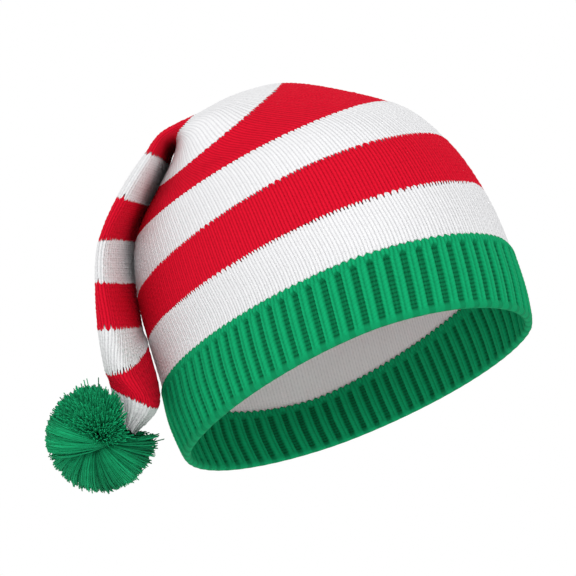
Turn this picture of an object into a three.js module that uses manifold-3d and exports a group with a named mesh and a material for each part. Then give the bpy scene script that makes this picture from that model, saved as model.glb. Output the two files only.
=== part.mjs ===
// Knitted elf hat, held in the form that it has when worn: a ribbed band, a striped crown that folds over
// into a striped tail, and a yarn pompom. Millimetres, +Z up, the wearer looks along -Y.
// The origin is the middle of the head opening.

import * as THREE from 'three';
import { mergeVertices } from 'three/addons/utils/BufferGeometryUtils.js';
import Module from 'manifold-3d';

const wasm = await Module();
wasm.setup();

// Driving dimensions of the knitted tube, in millimetres and degrees
const headReach = 90; // middle of the head opening to its edge, on the side of the flop
const headDepth = 88; // middle of the head opening to its edge, across the flop
const crownRise = 150; // the height that the crown's sections are shares of
const flopTurn = 130; // way that the tail flops, turned from +X toward +Y
const tailHang = 160; // fold to gathered end
const tailWidth = 124; // flattened tail at the fold, across the flop
const tailThickness = 19; // flattened tail, along the flop
const tailGap = 2.5; // air between the hanging tail and the crown
const knitWall = 2.5; // plain knit of crown and tail
const seam = 0.3; // clearance where one piece meets the next

// The gathers that draw the tail in, from partway down its last red stripe
const pleatStart = 12.8; // in stripes, as the tables below count them
const pleatCount = 9;
const pleatDepth = 1.6;
const pleatGrowth = 1.5; // how late they deepen
const tipPlug = 0.5; // stripes at the tip that are knit all through

// Driving dimensions of the ribbed band
const bandWall = 3.3; // wall under the ribs
const bandProud = 0.9; // how far the ribs stand out past the crown
const ribDepth = 1.7;
const ribCount = 72;
const lipRoll = 2.2; // height of the smooth rolled edge
const bandShoulder = 2.4; // height over which the rib tops round off into the crown

// Driving dimensions of the pompom
const pompomRadius = 27;
const pompomCore = 17; // tied middle that holds the locks
const lockCount = 54;
const lockWidth = 12; // one lock at its cut end
const lockRoot = 3.4; // one lock where it is tied in
const lockCrown = 1.6; // how far a cut end bulges
const lockRagged = 1.5; // how unevenly the locks are cut

// How finely the surfaces are divided
const crownSides = 64;
const crownRings = 15;
const crownInnerRings = 8;
const tailSides = 36;
const foldRings = 6;
const tailRings = 10;
const gatherRings = 4;
const tailInnerRings = 7;
const lockSides = 5;

const yarn = {
  green: new THREE.Color(0x0c8f5b),
  white: new THREE.Color(0xf2f2f4),
  red: new THREE.Color(0xc80f2c),
};
const yarnRoughness = 0.9;

// A table's rows as objects, one property a named column
const table = (columns, rows) => {
  const names = columns.split(' ');
  return rows.map((row) => Object.fromEntries(names.map((name, index) => [name, row[index]])));
};

// Sections of the crown from the rim up. stripe counts the stripes knitted so far, the band being the first.
// under and over are the two sides of a section that end up under and over the flop: out is a share of
// headReach, up of crownRise. across, shift, skew and lean are shares of headDepth, drop and bow of crownRise.
// drop tilts a section down across the flop, and bow lifts both of its ends there.
const crownRows = table('stripe underOut underUp overOut overUp across drop lean skew shift square bow', [
  [0.0, 0.975, -0.235, -0.967, 0.202, 1.0, 0.221, 0.07, 0.19, 0.0, 1.8, 0.0153],
  [0.5, 1.066, -0.115, -0.932, 0.32, 1.025, 0.235, 0.08, 0.19, 0.045, 1.75, -0.01],
  [1.0, 1.118, 0.003, -0.866, 0.449, 1.06, 0.252, 0.08, 0.19, 0.09, 1.7, -0.034],
  [2.0, 1.202, 0.17, -0.715, 0.65, 1.04, 0.19, 0.07, 0.18, 0.1, 1.8, -0.01],
  [3.0, 1.263, 0.322, -0.515, 0.815, 0.99, 0.172, 0.07, 0.15, 0.114, 1.82, 0.0],
  [4.0, 1.27, 0.51, -0.215, 0.963, 0.91, 0.082, 0.023, 0.1, 0.125, 1.9, 0.0],
  [5.0, 1.128, 0.71, 0.43, 1.055, 0.795, -0.05, 0.0, 0.045, 0.136, 2.15, 0.0],
  [5.5, 1.05, 0.79, 0.69, 1.015, 0.745, -0.02, 0.0, 0.0, 0.136, 2.35, 0.0],
]);

// The fold itself, where the crown ends and the tail begins. Columns as above, across a share of tailWidth.
const foldRow = { stripe: 6, underOut: 1.025, underUp: 0.837, overOut: 0.895, overUp: 0.935, across: 0.5 };
foldRow.shift = 0.136;
foldRow.square = 2.6;

// Sections of the tail from the fold down. underDown and overDown are shares of tailHang below the fold,
// off of tailGap, thick of tailThickness, across of tailWidth, drop of crownRise, the rest of headDepth.
const tailRows = table('stripe underDown overDown off thick across drop lean skew shift square', [
  [6.5, 0.1, 0.06, 1.0, 0.2, 0.475, 0.0, 0.0, 0.0, 0.136, 2.6],
  [7.0, 0.144, 0.131, 1.1, 0.5, 0.45, 0.0, -0.01, 0.0, 0.136, 2.6],
  [8.0, 0.28, 0.26, 1.3, 0.54, 0.41, 0.0, -0.03, 0.0, 0.136, 2.7],
  [9.0, 0.397, 0.405, 1.4, 0.54, 0.37, 0.0, -0.05, 0.0, 0.136, 2.7],
  [10.0, 0.533, 0.53, 1.8, 0.6, 0.33, 0.0, -0.055, 0.0, 0.136, 2.7],
  [11.0, 0.677, 0.68, 1.9, 0.8, 0.29, 0.0, -0.06, 0.0, 0.136, 2.7],
  [12.0, 0.765, 0.785, 1.9, 0.88, 0.24, -0.05, -0.06, -0.09, 0.136, 2.6],
  [13.0, 0.93, 0.86, 1.9, 1.2, 0.175, 0.0, -0.03, -0.045, 0.045, 2.4],
  [13.67, 1.009, 0.972, 8.0, 0.32, 0.065, 0.0, 0.0, 0.0, -0.045, 2.0],
]);

const stripeRim = 0;
const stripeBandTop = 1;
const stripeFold = foldRow.stripe;
const stripeHang = tailRows[2].stripe; // the tail hangs straight from here
const stripeGather = tailRows[tailRows.length - 2].stripe; // and is drawn in from here
const stripeTip = tailRows[tailRows.length - 1].stripe;

const outward = new THREE.Vector3(1, 0, 0).applyAxisAngle(
  new THREE.Vector3(0, 0, 1),
  THREE.MathUtils.degToRad(flopTurn),
);
const across = new THREE.Vector3(outward.y, -outward.x, 0);
const upward = new THREE.Vector3(0, 0, 1);

// A point from its distances out along the flop, across it, and up
const place = (out, over, up) =>
  new THREE.Vector3().addScaledVector(outward, out).addScaledVector(across, over).addScaledVector(upward, up);

// One section as its middle, its half width along the flop and its half width across
const section = (under, over, row, depth) => ({
  stripe: row.stripe,
  middle: place((under.x + over.x) / 2, row.shift * headDepth, (under.y + over.y) / 2),
  along: place((under.x - over.x) / 2, (row.skew ?? 0) * headDepth, (under.y - over.y) / 2),
  aside: place((row.lean ?? 0) * headDepth, depth, -(row.drop ?? 0) * crownRise),
  bow: (row.bow ?? 0) * crownRise,
  square: row.square,
});

const crownPoint = (out, up) => new THREE.Vector2(out * headReach, up * crownRise);

const crownSection = (row) =>
  section(
    crownPoint(row.underOut, row.underUp),
    crownPoint(row.overOut, row.overUp),
    row,
    row.across * headDepth,
  );

const foldSection = () =>
  section(
    crownPoint(foldRow.underOut, foldRow.underUp),
    crownPoint(foldRow.overOut, foldRow.overUp),
    foldRow,
    foldRow.across * tailWidth,
  );

// How far out the crown's side lies at a height, so that the tail hangs just clear of it
const crownSide = (up) => {
  const side = [...crownRows, foldRow].map((row) => crownPoint(row.underOut, row.underUp));
  const above = side.findIndex((point) => point.y > up);
  if (above === 0) return side[0].x;
  if (above < 0) return side[side.length - 1].x;
  const share = (up - side[above - 1].y) / (side[above].y - side[above - 1].y);
  return THREE.MathUtils.lerp(side[above - 1].x, side[above].x, share);
};

const tailSection = (row) => {
  const foldUp = foldRow.overUp * crownRise;
  const underUp = foldUp - row.underDown * tailHang;
  const underOut = crownSide(underUp) + row.off * tailGap;
  const overOut = underOut + row.thick * tailThickness;
  const overUp = foldUp - row.overDown * tailHang;
  return section(
    new THREE.Vector2(underOut, underUp),
    new THREE.Vector2(overOut, overUp),
    row,
    row.across * tailWidth,
  );
};

const sections = [...crownRows.map(crownSection), foldSection(), ...tailRows.map(tailSection)];

// A smooth cubic through the sections, with the slope at each one taken from its two neighbours
const slopeAt = (index, read) => {
  const before = sections[Math.max(index - 1, 0)];
  const here = sections[index];
  const after = sections[Math.min(index + 1, sections.length - 1)];
  const fore = after.stripe - here.stripe;
  const back = here.stripe - before.stripe;
  const rise = fore ? (read(after) - read(here)) / fore : 0;
  const fall = back ? (read(here) - read(before)) / back : 0;
  if (!fore) return fall;
  if (!back) return rise;
  return (fall * fore + rise * back) / (fore + back);
};

const smooth = (stripe, read) => {
  const last = sections.length - 2;
  const index = Math.min(last, Math.max(0, sections.findIndex((row) => row.stripe > stripe) - 1));
  const step = stripe >= sections[last].stripe ? last : index;
  const [start, end] = [sections[step], sections[step + 1]];
  const length = end.stripe - start.stripe;
  const t = (stripe - start.stripe) / length;
  const [t2, t3] = [t * t, t * t * t];
  return (
    (2 * t3 - 3 * t2 + 1) * read(start) +
    (t3 - 2 * t2 + t) * length * slopeAt(step, read) +
    (3 * t2 - 2 * t3) * read(end) +
    (t3 - t2) * length * slopeAt(step + 1, read)
  );
};

const smoothVector = (stripe, key) =>
  new THREE.Vector3(
    smooth(stripe, (row) => row[key].x),
    smooth(stripe, (row) => row[key].y),
    smooth(stripe, (row) => row[key].z),
  );

const roundPower = (value, square) => Math.sign(value) * Math.abs(value) ** (2 / square);

// A closed ring of the tube at a stripe count. grow(side) moves each point outward, lift the ring along the tube.
const ring = (stripe, sides, grow, lift = 0) => {
  const middle = smoothVector(stripe, 'middle');
  const along = smoothVector(stripe, 'along');
  const aside = smoothVector(stripe, 'aside');
  const square = smooth(stripe, (row) => row.square);
  const bow = smooth(stripe, (row) => row.bow);
  const normal = new THREE.Vector3().crossVectors(aside, along).normalize();
  const points = [];
  for (let side = 0; side < sides; side += 1) {
    const angle = (2 * Math.PI * side) / sides;
    const extra = grow(side);
    const reach = (along.length() + extra) / along.length();
    const depth = (aside.length() + extra) / aside.length();
    const over = roundPower(Math.sin(angle), square);
    points.push(
      middle
        .clone()
        .addScaledVector(along, reach * roundPower(Math.cos(angle), square))
        .addScaledVector(aside, depth * over)
        .addScaledVector(upward, bow * over * over)
        .addScaledVector(normal, lift),
    );
  }
  return { stripe, points };
};

const spread = (from, to, count) =>
  Array.from({ length: count + 1 }, (unused, step) => from + ((to - from) * step) / count);

// The yarn of a stripe: green for the band, then white and red in turn
const yarnAt = (stripe) => {
  if (stripe < stripeBandTop) return yarn.green;
  return Math.floor(stripe) % 2 ? yarn.white : yarn.red;
};

// A closed wall from rings outside and inside. Its far end is an open edge, or is closed over at the tip.
const wall = (outer, inner, closedTip) => {
  const positions = [];
  const colors = [];
  const triangle = (a, b, c, color) => {
    positions.push(...a, ...c, ...b);
    for (let corner = 0; corner < 3; corner += 1) colors.push(color.r, color.g, color.b);
  };
  const strip = (lower, upper) => {
    const color = yarnAt((lower.stripe + upper.stripe) / 2);
    const [low, high] = [lower.points, upper.points];
    for (let side = 0; side < low.length; side += 1) {
      const next = (side + 1) % low.length;
      triangle(low[side], low[next], high[side], color);
      triangle(low[next], high[next], high[side], color);
    }
  };
  const fan = ({ stripe, points }, facesOut) => {
    const middle = points.reduce((sum, point) => sum.add(point), new THREE.Vector3());
    middle.divideScalar(points.length);
    for (let side = 0; side < points.length; side += 1) {
      const next = (side + 1) % points.length;
      const [from, to] = facesOut ? [side, next] : [next, side];
      triangle(points[from], points[to], middle, yarnAt(stripe));
    }
  };
  for (let step = 1; step < outer.length; step += 1) strip(outer[step - 1], outer[step]);
  for (let step = 1; step < inner.length; step += 1) strip(inner[step], inner[step - 1]);
  strip(inner[0], outer[0]);
  if (closedTip) {
    fan(outer[outer.length - 1], true);
    fan(inner[inner.length - 1], false);
  } else {
    strip(outer[outer.length - 1], inner[inner.length - 1]);
  }
  const geometry = new THREE.BufferGeometry();
  geometry.setAttribute('position', new THREE.Float32BufferAttribute(positions, 3));
  geometry.setAttribute('color', new THREE.Float32BufferAttribute(colors, 3));
  return geometry;
};

// Ribbed band: a 1x1 rib on both faces, a smooth rolled lip below and a rounded shoulder above
const makeBand = () => {
  const sides = 2 * ribCount;
  const bandLength = smoothVector(stripeBandTop, 'middle').distanceTo(smoothVector(stripeRim, 'middle'));
  const lip = lipRoll / bandLength;
  const shoulder = bandShoulder / bandLength;
  const rib = (proud, depth) => (side) => (side % 2 ? proud : proud - depth);
  const outer = [
    ring(0, sides, rib(bandProud - lipRoll / 2, 0)),
    ring(lip / 2, sides, rib(bandProud, 0)),
    ring(lip, sides, rib(bandProud, ribDepth)),
    ring(0.5, sides, rib(bandProud, ribDepth)),
    ring(1 - shoulder, sides, rib(bandProud, ribDepth)),
    ring(1, sides, rib(0, ribDepth / 2)),
  ];
  const inner = [
    ring(0, sides, rib(lipRoll / 2 - bandWall, 0)),
    ring(lip, sides, rib(-bandWall, -ribDepth / 2)),
    ring(1, sides, rib(-bandWall, -ribDepth / 2)),
  ];
  return wall(outer, inner, false);
};

// Crown: from just over the band to the fold
const makeCrown = () => {
  const face = (stripe, grow, lift) => ring(stripe, crownSides, () => grow, lift);
  const outer = spread(stripeBandTop, stripeFold, crownRings).map((stripe, step) =>
    face(stripe, 0, step ? 0 : seam),
  );
  const inner = spread(stripeBandTop, stripeFold, crownInnerRings).map((stripe, step) =>
    face(stripe, -knitWall, step ? 0 : seam),
  );
  return wall(outer, inner, false);
};

// Tail: from just past the fold to its gathered end, where the knit is drawn into pleats
const tailStripes = [
  ...spread(stripeFold, stripeHang, foldRings),
  ...spread(stripeHang, stripeGather, tailRings).slice(1),
  ...spread(stripeGather, stripeTip, gatherRings).slice(1),
];

const tailRing = (stripe, grow, lift) => {
  const drawn = Math.max(0, (stripe - pleatStart) / (stripeTip - pleatStart)) ** pleatGrowth;
  const pleat = (side) => pleatDepth * drawn * Math.cos((2 * Math.PI * pleatCount * side) / tailSides);
  return ring(stripe, tailSides, (side) => grow + pleat(side), lift);
};

const makeTail = () => {
  const outer = tailStripes.map((stripe, step) => tailRing(stripe, 0, step ? 0 : seam));
  const inner = spread(stripeFold, stripeTip - tipPlug, tailInnerRings).map((stripe, step) =>
    tailRing(stripe, -knitWall, step ? 0 : seam),
  );
  return wall(outer, inner, true);
};

const toSolid = (geometry) => {
  for (const extra of ['normal', 'uv', 'color']) geometry.deleteAttribute(extra);
  const merged = mergeVertices(geometry, 1e-4);
  const vertProperties = new Float32Array(merged.attributes.position.array);
  const triVerts = new Uint32Array(merged.index.array);
  return new wasm.Manifold(new wasm.Mesh({ numProp: 3, vertProperties, triVerts }));
};

const fromSolid = (solid) => {
  const mesh = solid.getMesh();
  const geometry = new THREE.BufferGeometry();
  geometry.setAttribute('position', new THREE.Float32BufferAttribute(mesh.vertProperties, 3));
  geometry.setIndex(new THREE.Uint32BufferAttribute(mesh.triVerts, 1));
  return geometry;
};

// Pompom: locks of yarn that fan from a tied core, cut to a ball, with a pocket for the tail's end
const makePompom = () => {
  const tip = smoothVector(stripeTip, 'middle');
  const centre = tip.clone().add(place(0.48 * pompomRadius, -0.3 * pompomRadius, -0.19 * pompomRadius));
  let pompom = toSolid(new THREE.IcosahedronGeometry(pompomCore, 3).translate(...centre));
  const goldenTurn = Math.PI * (3 - Math.sqrt(5));
  for (let lock = 0; lock < lockCount; lock += 1) {
    const height = 1 - (2 * lock + 1) / lockCount;
    const girth = Math.sqrt(1 - height * height);
    const turn = lock * goldenTurn;
    const way = new THREE.Vector3(girth * Math.cos(turn), girth * Math.sin(turn), height);
    const trim = lockRagged * Math.sin(3.7 * lock);
    const end = pompomRadius - lockCrown - Math.abs(trim);
    const root = pompomCore / 2;
    const outline = [
      new THREE.Vector2(0, root),
      new THREE.Vector2(lockRoot / 2, root),
      new THREE.Vector2(lockWidth / 2, end),
      new THREE.Vector2(0, end + lockCrown),
    ];
    const geometry = new THREE.LatheGeometry(outline, lockSides);
    geometry.applyQuaternion(new THREE.Quaternion().setFromUnitVectors(new THREE.Vector3(0, 1, 0), way));
    geometry.translate(...centre);
    pompom = pompom.add(toSolid(geometry));
  }
  const face = (stripe) => tailRing(stripe, seam, 0);
  const cover = wall(tailStripes.map(face), [face(stripeFold)], true);
  return fromSolid(pompom.subtract(toSolid(cover)));
};

const piece = (name, geometry, look) => {
  geometry.computeVertexNormals();
  const material = new THREE.MeshStandardMaterial({ ...look, roughness: yarnRoughness, metalness: 0 });
  const mesh = new THREE.Mesh(geometry, material);
  mesh.name = name;
  return mesh;
};

const hat = new THREE.Group();
hat.add(piece('band', makeBand(), { color: yarn.green }));
hat.add(piece('crown', makeCrown(), { vertexColors: true }));
hat.add(piece('tail', makeTail(), { vertexColors: true }));
hat.add(piece('pompom', makePompom(), { color: yarn.green }));

export default hat;
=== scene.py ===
import math
import bpy
import numpy as np
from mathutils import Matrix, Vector


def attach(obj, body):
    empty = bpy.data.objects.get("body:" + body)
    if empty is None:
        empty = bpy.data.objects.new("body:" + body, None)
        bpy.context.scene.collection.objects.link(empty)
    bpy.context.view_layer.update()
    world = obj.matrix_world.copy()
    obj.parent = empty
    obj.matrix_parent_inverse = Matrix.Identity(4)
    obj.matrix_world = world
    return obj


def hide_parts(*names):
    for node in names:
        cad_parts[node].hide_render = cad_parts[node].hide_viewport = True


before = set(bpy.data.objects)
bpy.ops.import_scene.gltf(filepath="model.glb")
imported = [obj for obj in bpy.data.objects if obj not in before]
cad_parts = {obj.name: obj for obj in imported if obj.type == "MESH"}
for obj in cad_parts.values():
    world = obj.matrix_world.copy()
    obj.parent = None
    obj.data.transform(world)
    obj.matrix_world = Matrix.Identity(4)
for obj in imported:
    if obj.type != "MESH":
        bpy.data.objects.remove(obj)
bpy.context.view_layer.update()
mm = 0.001


# The tube that the whole hat is knitted as, in the same sections as the solids
hatTube = {
    "headReach": 90 * mm,      # middle of the opening to its edge, toward the flop
    "headDepth": 88 * mm,      # and across the flop
    "crownRise": 150 * mm,
    "flopTurn": 130,           # degrees from +X toward +Y
    "tailHang": 160 * mm,
    "tailWidth": 124 * mm,
    "tailThickness": 19 * mm,
    "tailGap": 2.5 * mm,
    "wall": 2.5 * mm,
}


def table(columns, rows):
    names = columns.split()
    return [dict(zip(names, row)) for row in rows]


crownRows = table("stripe underOut underUp overOut overUp across drop lean skew shift square bow", [
    [0.0, 0.975, -0.235, -0.967, 0.202, 1.0, 0.221, 0.07, 0.19, 0.0, 1.8, 0.0153],
    [0.5, 1.066, -0.115, -0.932, 0.32, 1.025, 0.235, 0.08, 0.19, 0.045, 1.75, -0.01],
    [1.0, 1.118, 0.003, -0.866, 0.449, 1.06, 0.252, 0.08, 0.19, 0.09, 1.7, -0.034],
    [2.0, 1.202, 0.17, -0.715, 0.65, 1.04, 0.19, 0.07, 0.18, 0.1, 1.8, -0.01],
    [3.0, 1.263, 0.322, -0.515, 0.815, 0.99, 0.172, 0.07, 0.15, 0.114, 1.82, 0.0],
    [4.0, 1.27, 0.51, -0.215, 0.963, 0.91, 0.082, 0.023, 0.1, 0.125, 1.9, 0.0],
    [5.0, 1.128, 0.71, 0.43, 1.055, 0.795, -0.05, 0.0, 0.045, 0.136, 2.15, 0.0],
    [5.5, 1.05, 0.79, 0.69, 1.015, 0.745, -0.02, 0.0, 0.0, 0.136, 2.35, 0.0],
])
foldRow = {"stripe": 6, "underOut": 1.025, "underUp": 0.837, "overOut": 0.895, "overUp": 0.935}
foldRow.update({"across": 0.5, "shift": 0.136, "square": 2.6})
tailRows = table("stripe underDown overDown off thick across drop lean skew shift square", [
    [6.5, 0.1, 0.06, 1.0, 0.2, 0.475, 0.0, 0.0, 0.0, 0.136, 2.6],
    [7.0, 0.144, 0.131, 1.1, 0.5, 0.45, 0.0, -0.01, 0.0, 0.136, 2.6],
    [8.0, 0.28, 0.26, 1.3, 0.54, 0.41, 0.0, -0.03, 0.0, 0.136, 2.7],
    [9.0, 0.397, 0.405, 1.4, 0.54, 0.37, 0.0, -0.05, 0.0, 0.136, 2.7],
    [10.0, 0.533, 0.53, 1.8, 0.6, 0.33, 0.0, -0.055, 0.0, 0.136, 2.7],
    [11.0, 0.677, 0.68, 1.5, 0.85, 0.29, 0.0, -0.05, 0.0, 0.136, 2.7],
    [12.0, 0.765, 0.785, 1.4, 0.94, 0.24, -0.05, -0.044, -0.09, 0.136, 2.6],
    [13.0, 0.93, 0.86, 1.4, 1.27, 0.175, 0.0, -0.015, -0.045, 0.045, 2.4],
    [13.67, 1.009, 0.972, 8.0, 0.32, 0.065, 0.0, 0.0, 0.0, -0.045, 2.0],
])
pleats = {"start": 12.8, "count": 9, "depth": 1.6 * mm, "growth": 1.5}   # the gathers at the tail's end

flopAngle = math.radians(hatTube["flopTurn"])
outward = np.array([math.cos(flopAngle), math.sin(flopAngle), 0.0])
across = np.array([outward[1], -outward[0], 0.0])
upward = np.array([0.0, 0.0, 1.0])


def place(out, over, up):
    return outward * out + across * over + upward * up


def section(row, under, over, depth):
    # one row: stripe, middle, half width along the flop, half width across it, squareness, bow
    deep, rise = hatTube["headDepth"], hatTube["crownRise"]
    middle = place((under[0] + over[0]) / 2, row["shift"] * deep, (under[1] + over[1]) / 2)
    along = place((under[0] - over[0]) / 2, row.get("skew", 0) * deep, (under[1] - over[1]) / 2)
    aside = place(row.get("lean", 0) * deep, depth, -row.get("drop", 0) * rise)
    return np.concatenate([[row["stripe"]], middle, along, aside, [row["square"], row.get("bow", 0) * rise]])


def crownSection(row, depthUnit):
    reach, rise = hatTube["headReach"], hatTube["crownRise"]
    under = (row["underOut"] * reach, row["underUp"] * rise)
    over = (row["overOut"] * reach, row["overUp"] * rise)
    return section(row, under, over, row["across"] * depthUnit)


def crownSide(up):
    side = crownRows + [foldRow]
    ups = [row["underUp"] * hatTube["crownRise"] for row in side]
    outs = [row["underOut"] * hatTube["headReach"] for row in side]
    return float(np.interp(up, ups, outs))


def tailSection(row):
    foldUp = foldRow["overUp"] * hatTube["crownRise"]
    underUp = foldUp - row["underDown"] * hatTube["tailHang"]
    underOut = crownSide(underUp) + row["off"] * hatTube["tailGap"]
    overOut = underOut + row["thick"] * hatTube["tailThickness"]
    overUp = foldUp - row["overDown"] * hatTube["tailHang"]
    return section(row, (underOut, underUp), (overOut, overUp), row["across"] * hatTube["tailWidth"])


tubeRows = np.array(
    [crownSection(row, hatTube["headDepth"]) for row in crownRows]
    + [crownSection(foldRow, hatTube["tailWidth"])]
    + [tailSection(row) for row in tailRows]
)
stripeTip = tubeRows[-1, 0]


def smoothRows(stripe):
    # cubic through the sections, slopes from the neighbours on either side
    knots, values = tubeRows[:, 0], tubeRows[:, 1:]
    gap = np.diff(knots)[:, None]
    climb = np.diff(values, axis=0) / gap
    slope = np.empty_like(values)
    slope[0], slope[-1] = climb[0], climb[-1]
    slope[1:-1] = (climb[:-1] * gap[1:] + climb[1:] * gap[:-1]) / (gap[1:] + gap[:-1])
    step = np.clip(np.searchsorted(knots, stripe, side="right") - 1, 0, len(knots) - 2)
    t = ((stripe - knots[step]) / gap[step, 0])[:, None]
    wide = gap[step]
    return (
        (2 * t**3 - 3 * t**2 + 1) * values[step]
        + (t**3 - 2 * t**2 + t) * wide * slope[step]
        + (3 * t**2 - 2 * t**3) * values[step + 1]
        + (t**3 - t**2) * wide * slope[step + 1]
    )


def roundPower(value, square):
    return np.sign(value) * np.abs(value) ** (2 / square)


def tubePoints(stripe, turn):
    # stripe (rows), turn (rows, columns) in radians
    rows = smoothRows(stripe)
    middle, along, aside = rows[:, None, 0:3], rows[:, None, 3:6], rows[:, None, 6:9]
    square, bow = rows[:, 9:10], rows[:, 10:11]
    c = roundPower(np.cos(turn), square)[..., None]
    s = roundPower(np.sin(turn), square)[..., None]
    return middle + along * c + aside * s + upward * bow[..., None] * s * s


def evenTurns(stripe, columns):
    # angles that put the columns at even spacing round each ring
    fine = np.linspace(0, 2 * math.pi, 1201)
    points = tubePoints(stripe, np.repeat(fine[None], len(stripe), 0))
    steps = np.linalg.norm(np.diff(points, axis=1), axis=2)
    length = np.concatenate([np.zeros((len(stripe), 1)), np.cumsum(steps, axis=1)], axis=1)
    share = np.arange(columns) / columns
    return np.array([np.interp(share * row[-1], row, fine) for row in length]), length[:, -1]


class TubePatch:
    # a stretch of the tube, sampled finely enough to be read at any stripe
    def __init__(self, low, high, columns, samples):
        self.low, self.high, self.samples = low, high, samples
        stripe = np.linspace(low, high, samples)
        turns = evenTurns(stripe, columns)[0]
        self.point = tubePoints(stripe, turns)
        aroundStep = np.roll(self.point, -1, 1) - np.roll(self.point, 1, 1)
        alongStep = np.gradient(self.point, stripe, axis=0)
        normal = np.cross(aroundStep, alongStep)
        normal /= np.linalg.norm(normal, axis=2, keepdims=True) + 1e-12
        middle = self.point.mean(axis=1, keepdims=True)
        outside = np.sign(np.sum(normal * (self.point - middle)))
        self.normal = normal * outside
        self.pace = np.linalg.norm(alongStep, axis=2)   # metres of knit a stripe
        self.turns = turns

    def read(self, stripe):
        # stripe is (rows, columns); returns point, normal, pace and turn there
        sample = np.clip((stripe - self.low) / (self.high - self.low), 0, 1) * (self.samples - 1)
        step = np.minimum(sample.astype(int), self.samples - 2)
        share = sample - step
        column = np.arange(stripe.shape[1])[None]

        def blend(field):
            mix = share[..., None] if field.ndim == 3 else share
            return field[step, column] * (1 - mix) + field[step + 1, column] * mix

        normal = blend(self.normal)
        normal /= np.linalg.norm(normal, axis=2, keepdims=True) + 1e-12
        return blend(self.point), normal, blend(self.pace), blend(self.turns)


def smoothStep(value, low, high):
    t = np.clip((value - low) / (high - low), 0, 1)
    return t * t * (3 - 2 * t)


def addMesh(name, vertices, faces, corners, material, layer="knit"):
    mesh = bpy.data.meshes.new(name)
    mesh.from_pydata(np.asarray(vertices).tolist(), [], faces)
    uvLayer = mesh.uv_layers.new(name=layer)
    uvLayer.data.foreach_set("uv", np.asarray(corners, dtype=np.float32).ravel())
    mesh.polygons.foreach_set("use_smooth", [True] * len(mesh.polygons))
    mesh.materials.append(material)
    mesh.update()
    obj = bpy.data.objects.new(name, mesh)
    bpy.context.scene.collection.objects.link(obj)
    return obj


def wearPiece(piece, node):
    # a finished piece stands for its node and moves with the hat
    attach(piece, "root")
    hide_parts(node)


def gridFaces(rows, columns, first, uv, flip=False):
    # quads of a closed ring grid, and the uv of each corner; uv is (rows, columns, 2) without wrap
    i = np.arange(rows - 1)[:, None]
    j = np.arange(columns)[None]
    nextJ = (j + 1) % columns
    lower, upper = i * columns, (i + 1) * columns
    faces = np.stack([lower + j, lower + nextJ, upper + nextJ, upper + j], -1)
    lastU = uv[0, -1, 0] + uv[0, 1, 0] - 2 * uv[0, 0, 0]
    wrapped = np.concatenate([uv, uv[:, :1] + [lastU, 0]], axis=1)
    corners = np.stack([wrapped[:-1, :-1], wrapped[:-1, 1:], wrapped[1:, 1:], wrapped[1:, :-1]], 2)
    if flip:
        faces, corners = faces[..., ::-1], corners[:, :, ::-1]
    return (faces.reshape(-1, 4) + first).tolist(), corners.reshape(-1, 2).tolist()


# The stitch, in phases across a wale and along a row
stitch = {
    "vRise": 0.8,            # rows that a leg climbs from the middle of its wale to its edge
    "relief": 0.95 * mm,     # how far the legs stand out
    "sunk": 0.7,             # share of it that lies below the tube's own surface
    "wale": 3.75 * mm,       # width of one column of stitches
    "row": 2.35 * mm,
    "uneven": 0.1,
    "perWale": 6,            # mesh columns a wale
    "perRow": 3,             # mesh lines a row
    "tuck": 0.7 * mm,        # how far the hidden row dips under the stripe below
    "slit": 0.9 * mm,        # how deep the slits are where the colour changes
    "slitRows": (1.1, 0.4),  # rows from the stripe's end where they begin and are full
    "spareRows": 1.2,        # rows of tube kept past both ends of a stripe, for its zigzag edges
    "tightest": 0.05,        # share of the relief that is left where the rows crowd together
}


def legHeight(edge, middle=0.3):
    # edge is 0 at the middle of the wale and 1 at its edge; the groove between wales is the deeper one
    near = np.clip(edge, 0, 1)
    return np.sin(math.pi * near) ** 0.75 * 0.85 + middle * (1 - near) ** 2


def rowHeight(phase):
    return 0.8 + 0.2 * np.sin(math.pi * phase) ** 0.8


def pleatRelief(stripe, turn):
    # the gathers that draw the tail's last stripe in to its end
    grow = np.clip((stripe - pleats["start"]) / (stripeTip - pleats["start"]), 0, 1) ** pleats["growth"]
    return pleats["depth"] * grow * np.cos(pleats["count"] * turn)


def joinWall(name, outer, inner, outerUv, innerUv, material):
    # outer is (rows, 3 n, 3) and inner (rows, n, 3): two skins, closed along both edges
    rows, columns = outer.shape[:2]
    innerRows, innerColumns = inner.shape[:2]
    ratio = columns // innerColumns
    faces, corners = gridFaces(rows, columns, 0, outerUv)
    first = rows * columns
    innerFaces, innerCorners = gridFaces(innerRows, innerColumns, first, innerUv, flip=True)
    faces += innerFaces
    corners += innerCorners
    for outerRow, innerRow, upper in ((0, 0, False), (rows - 1, innerRows - 1, True)):
        for k in range(innerColumns):
            edge = [outerRow * columns + (k * ratio + step) % columns for step in range(ratio + 1)]
            innerFirst = first + innerRow * innerColumns
            ring = edge + [innerFirst + (k + 1) % innerColumns, innerFirst + k]
            flat = outerUv[outerRow, (k * ratio) % columns]
            faces.append(ring if upper else ring[::-1])
            corners += [flat.tolist()] * len(ring)
    vertices = np.concatenate([outer.reshape(-1, 3), inner.reshape(-1, 3)])
    return addMesh(name, vertices, faces, corners, material)


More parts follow.
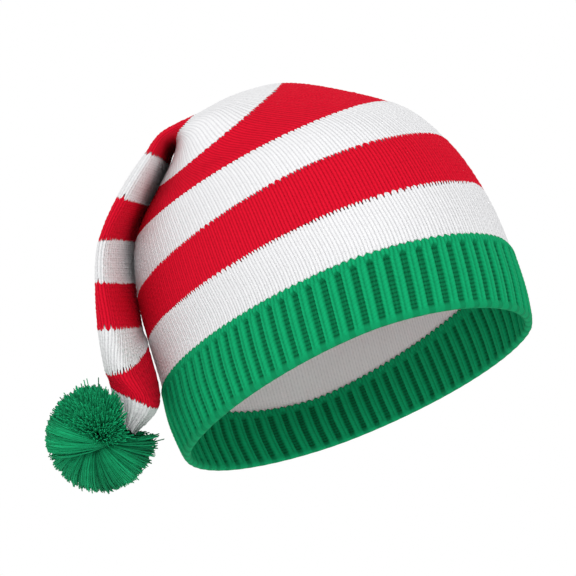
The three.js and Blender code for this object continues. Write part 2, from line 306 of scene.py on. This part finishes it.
def knitStripe(name, low, high, material, seed):
    # one stripe of stocking stitch: real legs, zigzag edges, and a recessed row under the stripe below
    draw = np.random.default_rng(seed)
    perWale, perRow = stitch["perWale"], stitch["perRow"]
    probe = np.linspace(low, high, 5)
    girth = evenTurns(probe, 8)[1].mean()
    wales = 2 * max(8, round(girth / stitch["wale"] / 2))
    underside = tubePoints(probe, np.full((5, 1), math.pi))
    rows = max(5, round(np.linalg.norm(np.diff(underside, axis=0), axis=2).sum() / stitch["row"]))
    columns = wales * perWale
    pad = stitch["spareRows"] / rows * (high - low)
    patch = TubePatch(low - pad, min(high + pad, stripeTip), columns, perRow * rows * 2)
    phase = (np.arange(columns) % perWale) / perWale
    edge = np.abs(phase - 0.5) * 2
    line = np.arange(-perRow, perRow * rows + 1)[:, None]
    rowCount = line / perRow + stitch["vRise"] * (edge[None] - 0.5)
    stripe = low + rowCount / rows * (high - low)
    point, normal, pace, turn = patch.read(stripe)
    size = 1 + stitch["uneven"] * draw.standard_normal((len(line), wales)).repeat(perWale, axis=1)
    relief = legHeight(edge)[None] * rowHeight((line % perRow) / perRow) * size
    tight = np.clip(pace * (high - low) / (rows * stitch["row"]), stitch["tightest"], 1)
    lift = stitch["relief"] * (relief * tight - stitch["sunk"])
    lift -= stitch["tuck"] * np.clip(-line / perRow, 0, 1)
    slitFrom, slitFull = stitch["slitRows"]
    lastRow = smoothStep(line / perRow, rows - slitFrom, rows - slitFull)
    lift -= stitch["slit"] * tight * lastRow * np.clip(1 - 4 * edge[None], 0, 1)
    folds = pleatRelief(stripe, turn)
    lift += folds
    outer = point + normal * lift[..., None]
    u = np.repeat(np.arange(columns)[None] / perWale, len(line), 0)
    outerUv = np.stack([u, rowCount], -1)
    pick, every = np.arange(0, len(line), perRow), perWale // 2
    inward = hatTube["wall"] - folds[pick, ::every]
    back = point[pick, ::every] - normal[pick, ::every] * inward[..., None]
    return joinWall(name, outer, back, outerUv, outerUv[pick, ::every], material)


class Field:
    # a socket that can be used in arithmetic; each operator adds its Math node
    def __init__(self, shader, socket):
        self.shader = shader
        self.socket = socket

    def math(self, operation, *others):
        sockets = {0: self}
        sockets.update({index + 1: other for index, other in enumerate(others)})
        return self.shader.node("ShaderNodeMath", {"operation": operation}, sockets, "Value")

    def clamp(self):
        return self.math("MINIMUM", 1.0).math("MAXIMUM", 0.0)

    def __add__(self, other):
        return self.math("ADD", other)

    __radd__ = __add__

    def __sub__(self, other):
        return self.math("SUBTRACT", other)

    def __rsub__(self, other):
        return self.math("MULTIPLY", -1.0).math("ADD", other)

    def __mul__(self, other):
        return self.math("MULTIPLY", other)

    __rmul__ = __mul__

    def __pow__(self, other):
        return self.math("POWER", other)


class Shader:
    def __init__(self, name):
        self.material = bpy.data.materials.new(name)
        self.material.use_nodes = True
        self.tree = self.material.node_tree
        self.surface = self.tree.nodes["Principled BSDF"]

    def node(self, kind, settings=None, sockets=None, output=0):
        made = self.tree.nodes.new(kind)
        for key, setting in (settings or {}).items():
            setattr(made, key, setting)
        for key, value in (sockets or {}).items():
            self.feed(made.inputs[key], value)
        return Field(self, made.outputs[output])

    def feed(self, socket, value):
        if isinstance(value, Field):
            self.tree.links.new(value.socket, socket)
        else:
            socket.default_value = value

    def mixColor(self, factor, low, high):
        return self.node("ShaderNodeMix", {"data_type": "RGBA"}, {"Factor": factor, 6: low, 7: high}, 2)

    def noise(self, scale, detail=3.0, rough=0.55):
        spot = self.node("ShaderNodeTexCoord", {}, {}, "Object")
        sockets = {"Vector": spot, "Scale": scale, "Detail": detail, "Roughness": rough}
        return self.node("ShaderNodeTexNoise", {}, sockets, "Fac")

    def uvPair(self, layer):
        uv = self.node("ShaderNodeUVMap", {"uv_map": layer}, {}, "UV")
        first = self.node("ShaderNodeSeparateXYZ", {}, {"Vector": uv}, "X")
        return first, Field(self, first.socket.node.outputs["Y"])

    def finish(self, color, roughness, height, bumpDepth, sheen, sheenTint):
        self.feed(self.surface.inputs["Base Color"], color)
        self.feed(self.surface.inputs["Roughness"], roughness)
        sockets = {"Strength": 0.8, "Distance": bumpDepth, "Height": height}
        self.feed(self.surface.inputs["Normal"], self.node("ShaderNodeBump", {}, sockets, "Normal"))
        self.surface.inputs["Sheen Weight"].default_value = sheen
        self.surface.inputs["Sheen Roughness"].default_value = 0.6
        self.surface.inputs["Sheen Tint"].default_value = sheenTint
        self.surface.inputs["Specular IOR Level"].default_value = 0.12
        return self.material


# How the yarn is coloured, with painted light and shade: the lit colour on the legs, a painted shade colour
# deep in the grooves, and a painted dark shade where a colour is tucked under
yarnLook = {
    # each yarn: its lit colour, its painted groove shade, and its painted dark shade for the tucked-under
    # row; the pompom's second colour is painted shade at the strands' roots
    "red": {"lit": (0.74, 0.004, 0.025, 1), "deep": (0.4, 0.0, 0.01, 1), "tuckShade": (0.05, 0.004, 0.008, 1)},
    "white": {"lit": (0.86, 0.86, 0.87, 1), "deep": (0.68, 0.68, 0.7, 1), "tuckShade": (0.12, 0.09, 0.1, 1)},
    "green": {"lit": (0.003, 0.38, 0.145, 1), "deep": (0.0, 0.11, 0.04, 1), "tuckShade": (0.0, 0.08, 0.03, 1)},
    "pompom": {"lit": (0.012, 0.5, 0.2, 1), "deep": (0.0, 0.07, 0.025, 1)},
    "pinholeShade": {"red": 0.3, "white": 0.7, "green": 0.3},   # how dark the painted shade in the holes between wales is
    "sheen": 0.12,
    "bump": 0.55 * mm,
    "strandBump": 0.2 * mm,
    "heather": 420.0,        # scales of the noise: mottled dye, hairs on the knit, hairs on a strand
    "fuzz": 2600.0,
    "strandFuzz": 3000.0,
}
plainLegs = (0.5, 0.5, 0.5)    # groove of a knit column and the reach of its two legs, as shares of a wale


def yarnMaterial(name, legs=plainLegs, middle=0.0, plainFrom=None):
    # middle is how high the groove between the two legs stands, and so how little painted shade it gets; past
    # row plainFrom a rib is two plain wales
    shader = Shader(f"{name}_yarn")
    look = yarnLook[name]
    wale, row = shader.uvPair("knit")
    fromGroove = wale.math("FRACT") - legs[0]
    leftLeg, rightLeg = fromGroove * (-1 / legs[1]), fromGroove * (1 / legs[2])
    edge = leftLeg.math("MAXIMUM", rightLeg).math("MINIMUM", 1.0)
    line = row - stitch["vRise"] * edge + 0.5 * stitch["vRise"]
    rowPhase = line.math("FRACT")
    leg = (edge * math.pi).math("SINE").math("MAXIMUM", 0.0) ** 0.6
    if middle:
        leg = leg.math("MAXIMUM", (1 - edge) * middle)
    loop = (rowPhase * math.pi).math("SINE").math("MAXIMUM", 0.0) ** 0.6
    stitchTop = leg * (0.82 + 0.18 * loop)
    pinholeShade = (edge ** 8) * (1 - loop) * yarnLook["pinholeShade"][name]
    rung = (1 - leg) * loop * 0.22
    heather = shader.noise(yarnLook["heather"])
    fuzz = shader.noise(yarnLook["fuzz"], 4.0, 0.7)
    ply = ((rowPhase * 2.0 + edge * 1.5) * (2 * math.pi)).math("SINE")   # two plies twisted
    # painted light on the raised legs and rungs and painted shade in the grooves and pinholes, plus the
    # yarn's own mottled dye (heather) and fuzz; it mixes from the painted groove shade up to the lit colour
    tone = stitchTop * 0.85 + rung - pinholeShade + (heather - 0.5) * 0.35 + (fuzz - 0.5) * 0.2 + 0.12
    if plainFrom:
        # the last rows of a rib are two plain wales, with painted shade between their teeth, and its rolled
        # edge is smooth with a flat mottled lightness
        upper, lower = (row - plainFrom).clamp(), (1.1 - row).clamp()
        tooth = (((wale * 2).math("FRACT") - 0.5).math("ABSOLUTE") * (2 * math.pi)).math("SINE") ** 0.6
        tone = tone * (1 - upper) * (1 - lower) + upper * (0.3 + 0.6 * tooth) + lower * (0.55 + 0.3 * heather)
    color = shader.mixColor(tone.clamp(), look["deep"], look["lit"])
    # painted dark shade on the hidden row that dips under the stripe below
    color = shader.mixColor((line * 2.2 + 1.0).clamp(), look["tuckShade"], color)
    height = stitchTop * 0.6 + ply * 0.08 * leg + fuzz * 0.35
    return shader.finish(color, 0.82 + 0.16 * fuzz, height, yarnLook["bump"], yarnLook["sheen"], look["lit"])


def strandMaterial(name):
    shader = Shader(f"{name}_yarn")
    look = yarnLook[name]
    chance, reach = shader.uvPair("strand")
    fuzz = shader.noise(yarnLook["strandFuzz"], 4.0, 0.7)
    # painted shade towards each strand's root, deep in the ball, times the strand's own random lightness
    tone = (0.45 + 0.55 * reach) * (0.2 + 0.8 * chance) + (fuzz - 0.5) * 0.25
    color = shader.mixColor(tone.clamp(), look["deep"], look["lit"])
    twist = ((reach * 34.0 + chance * 9.0) * (2 * math.pi)).math("SINE")
    height = twist * 0.3 + fuzz * 0.5
    depth = yarnLook["strandBump"]
    return shader.finish(color, 0.8 + 0.18 * fuzz, height, depth, yarnLook["sheen"], look["lit"])


# The band: one by one rib, outside and in, with a smooth rolled lip
bandShape = {
    "ribs": 72,
    "perRib": 12,            # mesh columns a rib
    "knitHalf": 0.32,        # half width of the knit column, as a share of the rib
    "groove": 0.57,          # where its two legs meet: the left one is the broader
    "middle": 0.3,           # height there
    "proud": 0.9 * mm,
    "ribDepth": 2.1 * mm,
    "ladder": 0.55 * mm,     # bumps down in the purl column
    "wall": 3.3 * mm,
    "lip": 2.2 * mm,
    "shoulder": 2.6 * mm,
    "rows": 17,
    "plainRows": 2.9,        # rows at the top over which the rib closes into teeth
    "teethRows": 1.6,        # and the last ones, all teeth
    "fadeRows": 1.3,         # rows at the bottom over which the ribs rise out of the lip
    "lipRings": 7,
    "lipRope": 0.12 * mm,    # how far the ribs still show on the lip
    "lipInset": 0.1 * mm,
    "samples": 80,
}

ribLegs = (
    bandShape["groove"],
    bandShape["groove"] - 0.5 + bandShape["knitHalf"],
    0.5 + bandShape["knitHalf"] - bandShape["groove"],
)
yarns = {
    "red": yarnMaterial("red"),
    "white": yarnMaterial("white"),
    "green": yarnMaterial("green", ribLegs, 0.35, bandShape["rows"] - bandShape["teethRows"] - 0.7),
    "pompom": strandMaterial("pompom"),
}
print("materials ready")


def ribEdge(phase):
    # 0 in the groove of a knit column, 1 at its two sides
    groove, left, right = ribLegs
    return np.maximum((groove - phase) / left, (phase - groove) / right)


def ribRelief(phase, line, perRow, plain):
    # two legs and a ladder column a rib; where it is plain, each column is a wale of its own
    edge = ribEdge(phase)
    knitPart = 1 - smoothStep(np.abs(phase - 0.5) / bandShape["knitHalf"], 0.8, 1.3)
    legs = legHeight(edge, bandShape["middle"])[None] * rowHeight((line % perRow) / perRow) * stitch["relief"]
    ladder = bandShape["ladder"] * np.array([0.0, 1.0, 0.7])[line % perRow] * (1 - knitPart)[None]
    ribbed = bandShape["ribDepth"] * (knitPart[None] - 1) + legs * knitPart[None] + ladder
    tooth = legHeight(np.abs((phase * 2) % 1 - 0.5) * 2)[None] * stitch["relief"]
    return ribbed * (1 - plain) + tooth * plain - 0.5 * stitch["relief"]


def makeBand():
    perRib, rows, perRow = bandShape["perRib"], bandShape["rows"], stitch["perRow"]
    columns = bandShape["ribs"] * perRib
    lines = rows * perRow
    patch = TubePatch(0.0, 1.0 + 1 / rows, columns, bandShape["samples"])
    height = patch.pace[:, 0].mean()
    lip, shoulder = bandShape["lip"] / height, bandShape["shoulder"] / height
    phase = (np.arange(columns) % perRib) / perRib
    edge = np.minimum(ribEdge(phase), 1)[None]
    toothEdge = (np.abs((phase * 2) % 1 - 0.5) * 2)[None]
    u = np.arange(columns)[None] / perRib

    def skin(line, proud, inward):
        plain = smoothStep(line / perRow, rows - bandShape["plainRows"], rows - bandShape["teethRows"])
        climb = stitch["vRise"] * ((edge - 0.5) * (1 - plain) + (toothEdge - 0.5) * plain) / rows
        share = line / lines
        stripe = lip + (1 - lip) * (share + climb * np.clip(share / 0.05, 0, 1))
        point, normal = patch.read(stripe)[:2]
        top = np.clip((stripe - (1 - shoulder)) / shoulder, 0, 1)
        fade = 0.1 + 0.9 * smoothStep(line / perRow, 0.0, bandShape["fadeRows"])
        relief = ribRelief(phase, line, perRow, plain) * (1 - 0.5 * top) * fade
        lift = proud - relief if inward else proud + relief - 0.75 * bandShape["proud"] * top**2
        uv = np.stack([np.repeat(u, len(line), 0), line / perRow + climb * rows], -1)
        return point + normal * lift[..., None], uv

    outer, outerUv = skin(np.arange(lines + 1)[:, None], bandShape["proud"], False)
    inner, innerUv = skin(np.append(np.arange(0, lines, 2), lines)[:, None], -bandShape["wall"], True)
    bend = np.linspace(0, math.pi, bandShape["lipRings"] + 2)[1:-1][:, None]
    point, normal = patch.read(np.repeat(lip * (1 - np.sin(bend)), columns, axis=1))[:2]
    middle = (bandShape["proud"] - bandShape["wall"]) / 2
    half = (bandShape["proud"] + bandShape["wall"]) / 2
    rope = bandShape["lipRope"] * np.sin(u * 2 * math.pi)
    rolled = point + normal * (middle + (half - bandShape["lipInset"]) * np.cos(bend) + rope)[..., None]
    ring = np.concatenate([inner[::-1], rolled[::-1], outer])
    uv = np.concatenate([innerUv[::-1], np.repeat(outerUv[:1], len(bend), 0), outerUv])
    faces, corners = gridFaces(len(ring), columns, 0, uv)
    last = (len(ring) - 1) * columns
    for j in range(columns):
        nextJ = (j + 1) % columns
        faces.append([last + j, last + nextJ, nextJ, j])
        corners += [uv[-1, j].tolist()] * 4
    wearPiece(addMesh("band_rib", ring.reshape(-1, 3), faces, corners, yarns["green"]), "band")


makeBand()
print("band knitted")

# Crown and tail, stripe by stripe
stripes = {
    "order": ["white", "red"],
    "first": 1,              # the band is the first stripe of the tube
    "fold": 6,               # crown below, tail past it
    "seed": 11,
}


def makeStripes():
    edges = list(range(stripes["first"], int(stripeTip) + 1)) + [stripeTip]
    for index, (low, high) in enumerate(zip(edges, edges[1:])):
        color = stripes["order"][index % 2]
        node = "crown" if low < stripes["fold"] else "tail"
        name = f"{node}_{color}_{index // 2 + 1}"
        wearPiece(knitStripe(name, low, high, yarns[color], stripes["seed"] + index), node)


makeStripes()
print("stripes knitted")

# The pompom: cut yarn tied in the middle. Places on it are (right, up) from its middle, in radii, as the
# camera sees it: a roll of strands swirls out of a dimple over a skirt of long ones, and a tuft of cut ends
# stands over both.
pompomShape = {
    "radius": 26.3 * mm,
    "seat": (0.48, -0.3, -0.19),        # its middle from the tail's end, in seatUnits: out, across, up
    "seatUnit": 27 * mm,
    "tuftWay": (14, 160),               # degrees round the dimple that the tuft takes
    "backWay": -0.45,                   # how far behind the middle the cut ends go all the way round
    "tuftStrands": 12500,
    "tuftWidth": 0.34 * mm,
    "tuftBend": 1.6 * mm,
    "tuftScatter": 0.02,
    "tuftPoints": (0.25, 0.7, 1.0),     # a cut end's points, as shares of the radius, and how far each bends
    "tuftBends": (0.0, 0.15, 0.5),
    "fanWidth": 0.42 * mm,
    "fanSegments": 6,
    "ragged": 0.03,
    "lockPull": 0.62,                   # how far the long strands close up into locks
    "lockRise": 0.045,                  # how unevenly the locks stand out
    "layerDrop": 0.12,                  # how deep the strands of one fan are stacked
    "rootScatter": (0.02, 0.015),       # right and up
    "angleScatter": 0.03,
    "strays": [(-0.25, 0.95), (0.98, 0.1)],
    "strayNear": 0.98,                  # cosine of how near to a stray's place its ends stand out
    "strayChance": 0.4,
    "strayReach": (1.05, 0.07),         # least, and how much more by chance
    "seed": 5,
}
# the parting runs from its left end to the dimple, and the tail's end lies to the right of the hat's side
parting = [(-0.68, -0.26), (-0.27, -0.19), (0.0, -0.24), (0.25, -0.085)]
hatSide = [(0.6, 0.08), (0.53, 0.39), (0.47, 0.67), (0.35, 0.88), (0.07, 0.98)]
tailEnd = {
    "start": 12.4,           # in stripes
    "slices": 24,
    "sliceThick": 0.75,      # half thickness of a slice, as a share of its step
    "slack": 1.25,
    "behind": -0.75,         # the pompom's back that it leaves free
}
# the second-last column sets how much lighter or darker a fan's strands are painted, as light and shade: the
# bulging roll lighter, the side fan darker
fanColumns = "name count from angleFrom angleTo nearLow nearHigh rise depth locks tone ragged"
fans = table(fanColumns, [
    ["skirt", 1800, 0.0, 198, 332, -0.6, 0.1, 0.93, 0.72, 17, 0.8, 0.03],
    ["roll", 1100, 1.0, 158, 189, -0.6, 0.55, 1.07, 0.68, 5, 1.3, 0.03],
    ["side", 520, 1.0, 332, 386, -0.6, 0.3, 0.97, 0.62, 8, 0.5, 0.07],
])
pictureRight = -outward


def unit(vectors):
    return vectors / (np.linalg.norm(vectors, axis=-1, keepdims=True) + 1e-12)


def ballWay(right, up):
    # the way from the middle to a place seen on the ball's near side
    near = np.sqrt(np.clip(1 - right**2 - up**2, 0, 1))
    return unit(np.stack([right, up, near], -1))


def slerp(first, last, share):
    # along the great circle from one way to another; share is (steps)
    angle = np.arccos(np.clip(np.sum(first * last, -1), -0.999, 0.999))[:, None, None]
    share = share[None, :, None]
    firstPart = np.sin((1 - share) * angle) * first[:, None]
    return (firstPart + np.sin(share * angle) * last[:, None]) / np.sin(angle)


def underTail(way):
    # ways, as right, up and near, where the tail's end lies over the ball
    rights, ups = np.array(hatSide).T
    edge = np.interp(way[..., 1], ups, rights)
    return (way[..., 1] > ups[0]) & (way[..., 0] > edge) & (way[..., 2] > tailEnd["behind"])


def insideTail(points):
    # which points lie in the tail's gathered end
    rows = smoothRows(np.linspace(tailEnd["start"], stripeTip, tailEnd["slices"]))
    hit = np.zeros(points.shape[:-1], bool)
    for row, nextRow in zip(rows, rows[1:]):
        offset = points - (row[:3] + nextRow[:3]) / 2
        alongWay, asideWay = row[3:6], row[6:9]
        normal = unit(np.cross(asideWay, alongWay))
        flat = (offset @ alongWay) / (alongWay @ alongWay), (offset @ asideWay) / (asideWay @ asideWay)
        thick = np.linalg.norm(nextRow[:3] - row[:3]) * tailEnd["sliceThick"]
        hit |= (flat[0] ** 2 + flat[1] ** 2 < tailEnd["slack"]) & (np.abs(offset @ normal) < thick)
    return hit


def strandMesh(name, path, thick, chance, spin):
    # three-sided strands along path (count, steps, 3), closed at both ends
    count, steps = path.shape[:2]
    forward = unit(np.gradient(path, axis=1))
    helper = np.where(np.abs(forward[..., 2:3]) > 0.9, [1.0, 0, 0], [0, 0, 1.0])
    sideways = unit(np.cross(forward, helper))
    third = np.cross(forward, sideways)
    angles = [(spin + corner * 2 * math.pi / 3)[:, None, None] for corner in range(3)]
    rings = [path + (sideways * np.cos(a) + third * np.sin(a)) * thick[..., None] for a in angles]
    points = np.stack(rings, 2)
    base = np.arange(count)[:, None, None] * steps * 3
    i = np.arange(steps - 1)[None, :, None]
    j = np.arange(3)[None, None, :]
    nextJ = (j + 1) % 3
    lower, upper = base + i * 3, base + (i + 1) * 3
    sides = np.stack([lower + j, lower + nextJ, upper + nextJ, upper + j], -1)
    first = np.arange(count)[:, None] * steps * 3
    roots = first + np.array([[2, 1, 0]])
    tips = first + (steps - 1) * 3 + np.array([[0, 1, 2]])
    share = np.linspace(0, 1, steps)
    v = np.stack([share[:-1], share[:-1], share[1:], share[1:]], -1)
    v = v[None, :, None].repeat(count, 0).repeat(3, 2)
    u = np.broadcast_to(chance[:, None, None, None], v.shape)
    rootUv = np.stack([chance.repeat(3), np.zeros(count * 3)], -1)
    tipUv = np.stack([chance.repeat(3), np.ones(count * 3)], -1)
    corners = np.concatenate([np.stack([u, v], -1).reshape(-1, 2), rootUv, tipUv])
    faces = sides.reshape(-1, 4).tolist() + roots.tolist() + tips.tolist()
    strands = addMesh(name, points.reshape(-1, 3), faces, corners, yarns["pompom"], "strand")
    wearPiece(strands, "pompom")
    print(name, count, "strands")


def placeStrands(ways):
    # from right, up and near to the hat's own frame
    tip = smoothRows(np.array([stripeTip]))[0, :3]
    centre = tip + place(*(share * pompomShape["seatUnit"] for share in pompomShape["seat"]))
    return centre + (ways @ np.stack([pictureRight, upward, -across])) * pompomShape["radius"]


def makeFan(fan, draw):
    # long strands from the parting, or from the dimple at its end, round the ball to its far edge
    count = fan["count"]
    share = (np.arange(count) + draw.random(count)) / count
    lock = np.floor(share * fan["locks"])
    closed = share + ((lock + 0.5) / fan["locks"] - share) * pompomShape["lockPull"]
    lockLift = draw.uniform(-1, 1, fan["locks"])[lock.astype(int)]
    line = np.array(parting)
    along = (fan["from"] + (1 - fan["from"]) * share) * (len(line) - 1)
    rightScatter, upScatter = pompomShape["rootScatter"]
    right = np.interp(along, np.arange(len(line)), line[:, 0]) + rightScatter * draw.standard_normal(count)
    up = np.interp(along, np.arange(len(line)), line[:, 1]) + upScatter * draw.standard_normal(count)
    angle = np.radians(fan["angleFrom"] + (fan["angleTo"] - fan["angleFrom"]) * closed)
    angle += pompomShape["angleScatter"] * draw.standard_normal(count)
    near = fan["nearLow"] + (fan["nearHigh"] - fan["nearLow"]) * draw.random(count)
    flat = np.sqrt(1 - near**2)
    end = np.stack([np.cos(angle) * flat, np.sin(angle) * flat, near], -1)
    steps = np.linspace(0, 1, pompomShape["fanSegments"] + 1)
    way = slerp(ballWay(right, up), end, steps**0.9)
    layer = draw.random(count)[:, None]
    grow = fan["depth"] + (1 - fan["depth"]) * (1 - (1 - steps) ** 3)
    locksOut = 1 + pompomShape["lockRise"] * lockLift[:, None]
    bulge = fan["rise"] * locksOut * (1 - pompomShape["layerDrop"] * layer)
    reach = 1 + fan["ragged"] * draw.standard_normal(count)[:, None]
    distance = grow * (bulge * (1 - steps**3) + steps**3 * reach)
    path = placeStrands(way * distance[..., None])
    # locks that stand out more are painted lighter, and each fan lighter or darker by its column, as painted
    # light and shade; the rest is each strand's own random lightness
    chance = np.clip(0.5 * draw.random(count) + 0.3 * (1 + lockLift) + 0.35 * (fan["tone"] - 1), 0, 1)
    spin = draw.random(count) * 2 * math.pi
    keep = ~insideTail(path).any(axis=1) & ~underTail(way).any(axis=1)
    thick = pompomShape["fanWidth"] * (1.1 - 0.25 * steps) * np.ones((count, 1))
    strandMesh(f"pompom_{fan['name']}", path[keep], thick[keep], chance[keep], spin[keep])


def makeTuft(draw):
    # cut ends straight out of the ball, wherever no long strands lie
    count = pompomShape["tuftStrands"]
    index = np.arange(count)
    height = 1 - 2 * (index + 0.5) / count
    girth = np.sqrt(1 - height * height)
    golden = index * math.pi * (3 - math.sqrt(5))
    way = np.stack([girth * np.cos(golden), girth * np.sin(golden), height], -1)
    way = unit(way + draw.standard_normal(way.shape) * pompomShape["tuftScatter"])
    dimple = np.array(parting[-1]) * np.clip(way[:, 2:], 0, 1)
    turn = np.degrees(np.arctan2(way[:, 1] - dimple[:, 1], way[:, 0] - dimple[:, 0])) % 360
    low, high = pompomShape["tuftWay"]
    isTuft = ((turn > low) & (turn < high)) | (way[:, 2] < pompomShape["backWay"])
    way = way[isTuft & ~underTail(way)]
    count = len(way)
    chance = draw.random(count)
    reach = 1 + pompomShape["ragged"] * draw.standard_normal(count)
    least, more = pompomShape["strayReach"]
    for stray in pompomShape["strays"]:
        close = way @ ballWay(*np.array(stray)) > pompomShape["strayNear"]
        close &= draw.random(count) < pompomShape["strayChance"]
        reach = np.where(close, least + more * chance, reach)
    share = np.array(pompomShape["tuftPoints"])[None, :, None]
    ways = way[:, None] * share * reach[:, None, None]
    bend = draw.standard_normal((count, 3)) * pompomShape["tuftBend"] / pompomShape["radius"]
    ways += bend[:, None] * np.array(pompomShape["tuftBends"])[None, :, None]
    path = placeStrands(ways)
    keep = ~insideTail(path).any(axis=1)
    thick = pompomShape["tuftWidth"] * np.array([1.0, 1.1, 0.9]) * np.ones((count, 1))
    strandMesh("pompom_tuft", path[keep], thick[keep], chance[keep], draw.random(count)[keep] * 2 * math.pi)


def makePompom():
    draw = np.random.default_rng(pompomShape["seed"])
    for fan in fans:
        makeFan(fan, draw)
    makeTuft(draw)


makePompom()
print("pompom tied")

# Camera, light and floor
view = {
    "distance": 1.2,
    "lens": 146.5,
    "right": -35.1 * mm,     # the picture's middle, from the origin
    "up": 52.7 * mm,
    "floorDrop": 0.55,       # floor below the opening: the hat is held up at its mount
    "floorRadius": 3.0,
    "floorSides": 64,
    "floorWhite": 0.92,
    "lampTarget": (0, 0, 0.04),
    "skyLight": 0.88,
    "backdrop": 1.0,         # what the camera sees behind the hat
    "keyPower": 4.0,
    "frontPower": 1.2,
}


def lookAt(obj, target):
    obj.rotation_euler = (Vector(target) - obj.location).to_track_quat("-Z", "Y").to_euler()


def addCamera():
    camera = bpy.data.objects.new("camera", bpy.data.cameras.new("camera"))
    camera.data.lens = view["lens"]
    camera.data.sensor_width = 36
    camera.data.clip_start = 0.05
    bpy.context.scene.collection.objects.link(camera)
    target = pictureRight * view["right"] + upward * view["up"]
    camera.location = Vector(target - across * view["distance"])
    lookAt(camera, target)
    bpy.context.scene.camera = camera


def addArea(name, right, up, toward, size, power):
    light = bpy.data.lights.new(name, "AREA")
    light.shape = "DISK"
    light.size = size
    light.energy = power
    lamp = bpy.data.objects.new(name, light)
    bpy.context.scene.collection.objects.link(lamp)
    lamp.location = Vector(pictureRight * right + upward * up - across * toward)
    lookAt(lamp, view["lampTarget"])


def addFloor():
    sides, white = view["floorSides"], view["floorWhite"]
    turns = [2 * math.pi * step / sides for step in range(sides)]
    radius, level = view["floorRadius"], -view["floorDrop"]
    floorMesh = bpy.data.meshes.new("floor")
    rim = [(radius * math.cos(turn), radius * math.sin(turn), level) for turn in turns]
    floorMesh.from_pydata(rim, [], [tuple(range(sides))])
    shader = Shader("floor_paint")
    shader.surface.inputs["Base Color"].default_value = (white, white, white, 1)
    shader.surface.inputs["Roughness"].default_value = 0.9
    floorMesh.materials.append(shader.material)
    floor = bpy.data.objects.new("floor", floorMesh)
    bpy.context.scene.collection.objects.link(floor)


def addWorld():
    # a white backdrop, and a little less of it as light
    world = bpy.data.worlds.new("studio")
    bpy.context.scene.world = world
    world.use_nodes = True
    tree = world.node_tree
    path = tree.nodes.new("ShaderNodeLightPath")
    strength = tree.nodes.new("ShaderNodeMapRange")
    strength.inputs["To Min"].default_value = view["skyLight"]
    strength.inputs["To Max"].default_value = view["backdrop"]
    tree.links.new(path.outputs["Is Camera Ray"], strength.inputs["Value"])
    tree.links.new(strength.outputs["Result"], tree.nodes["Background"].inputs["Strength"])
    tree.nodes["Background"].inputs["Color"].default_value = (1, 1, 1, 1)


addCamera()
addArea("key", -0.15, 0.55, 1.15, 0.7, view["keyPower"])
addArea("front", -0.1, 0.08, 1.25, 0.3, view["frontPower"])
addFloor()
addWorld()
bpy.context.scene.view_settings.view_transform = "Standard"
print("stage lit")
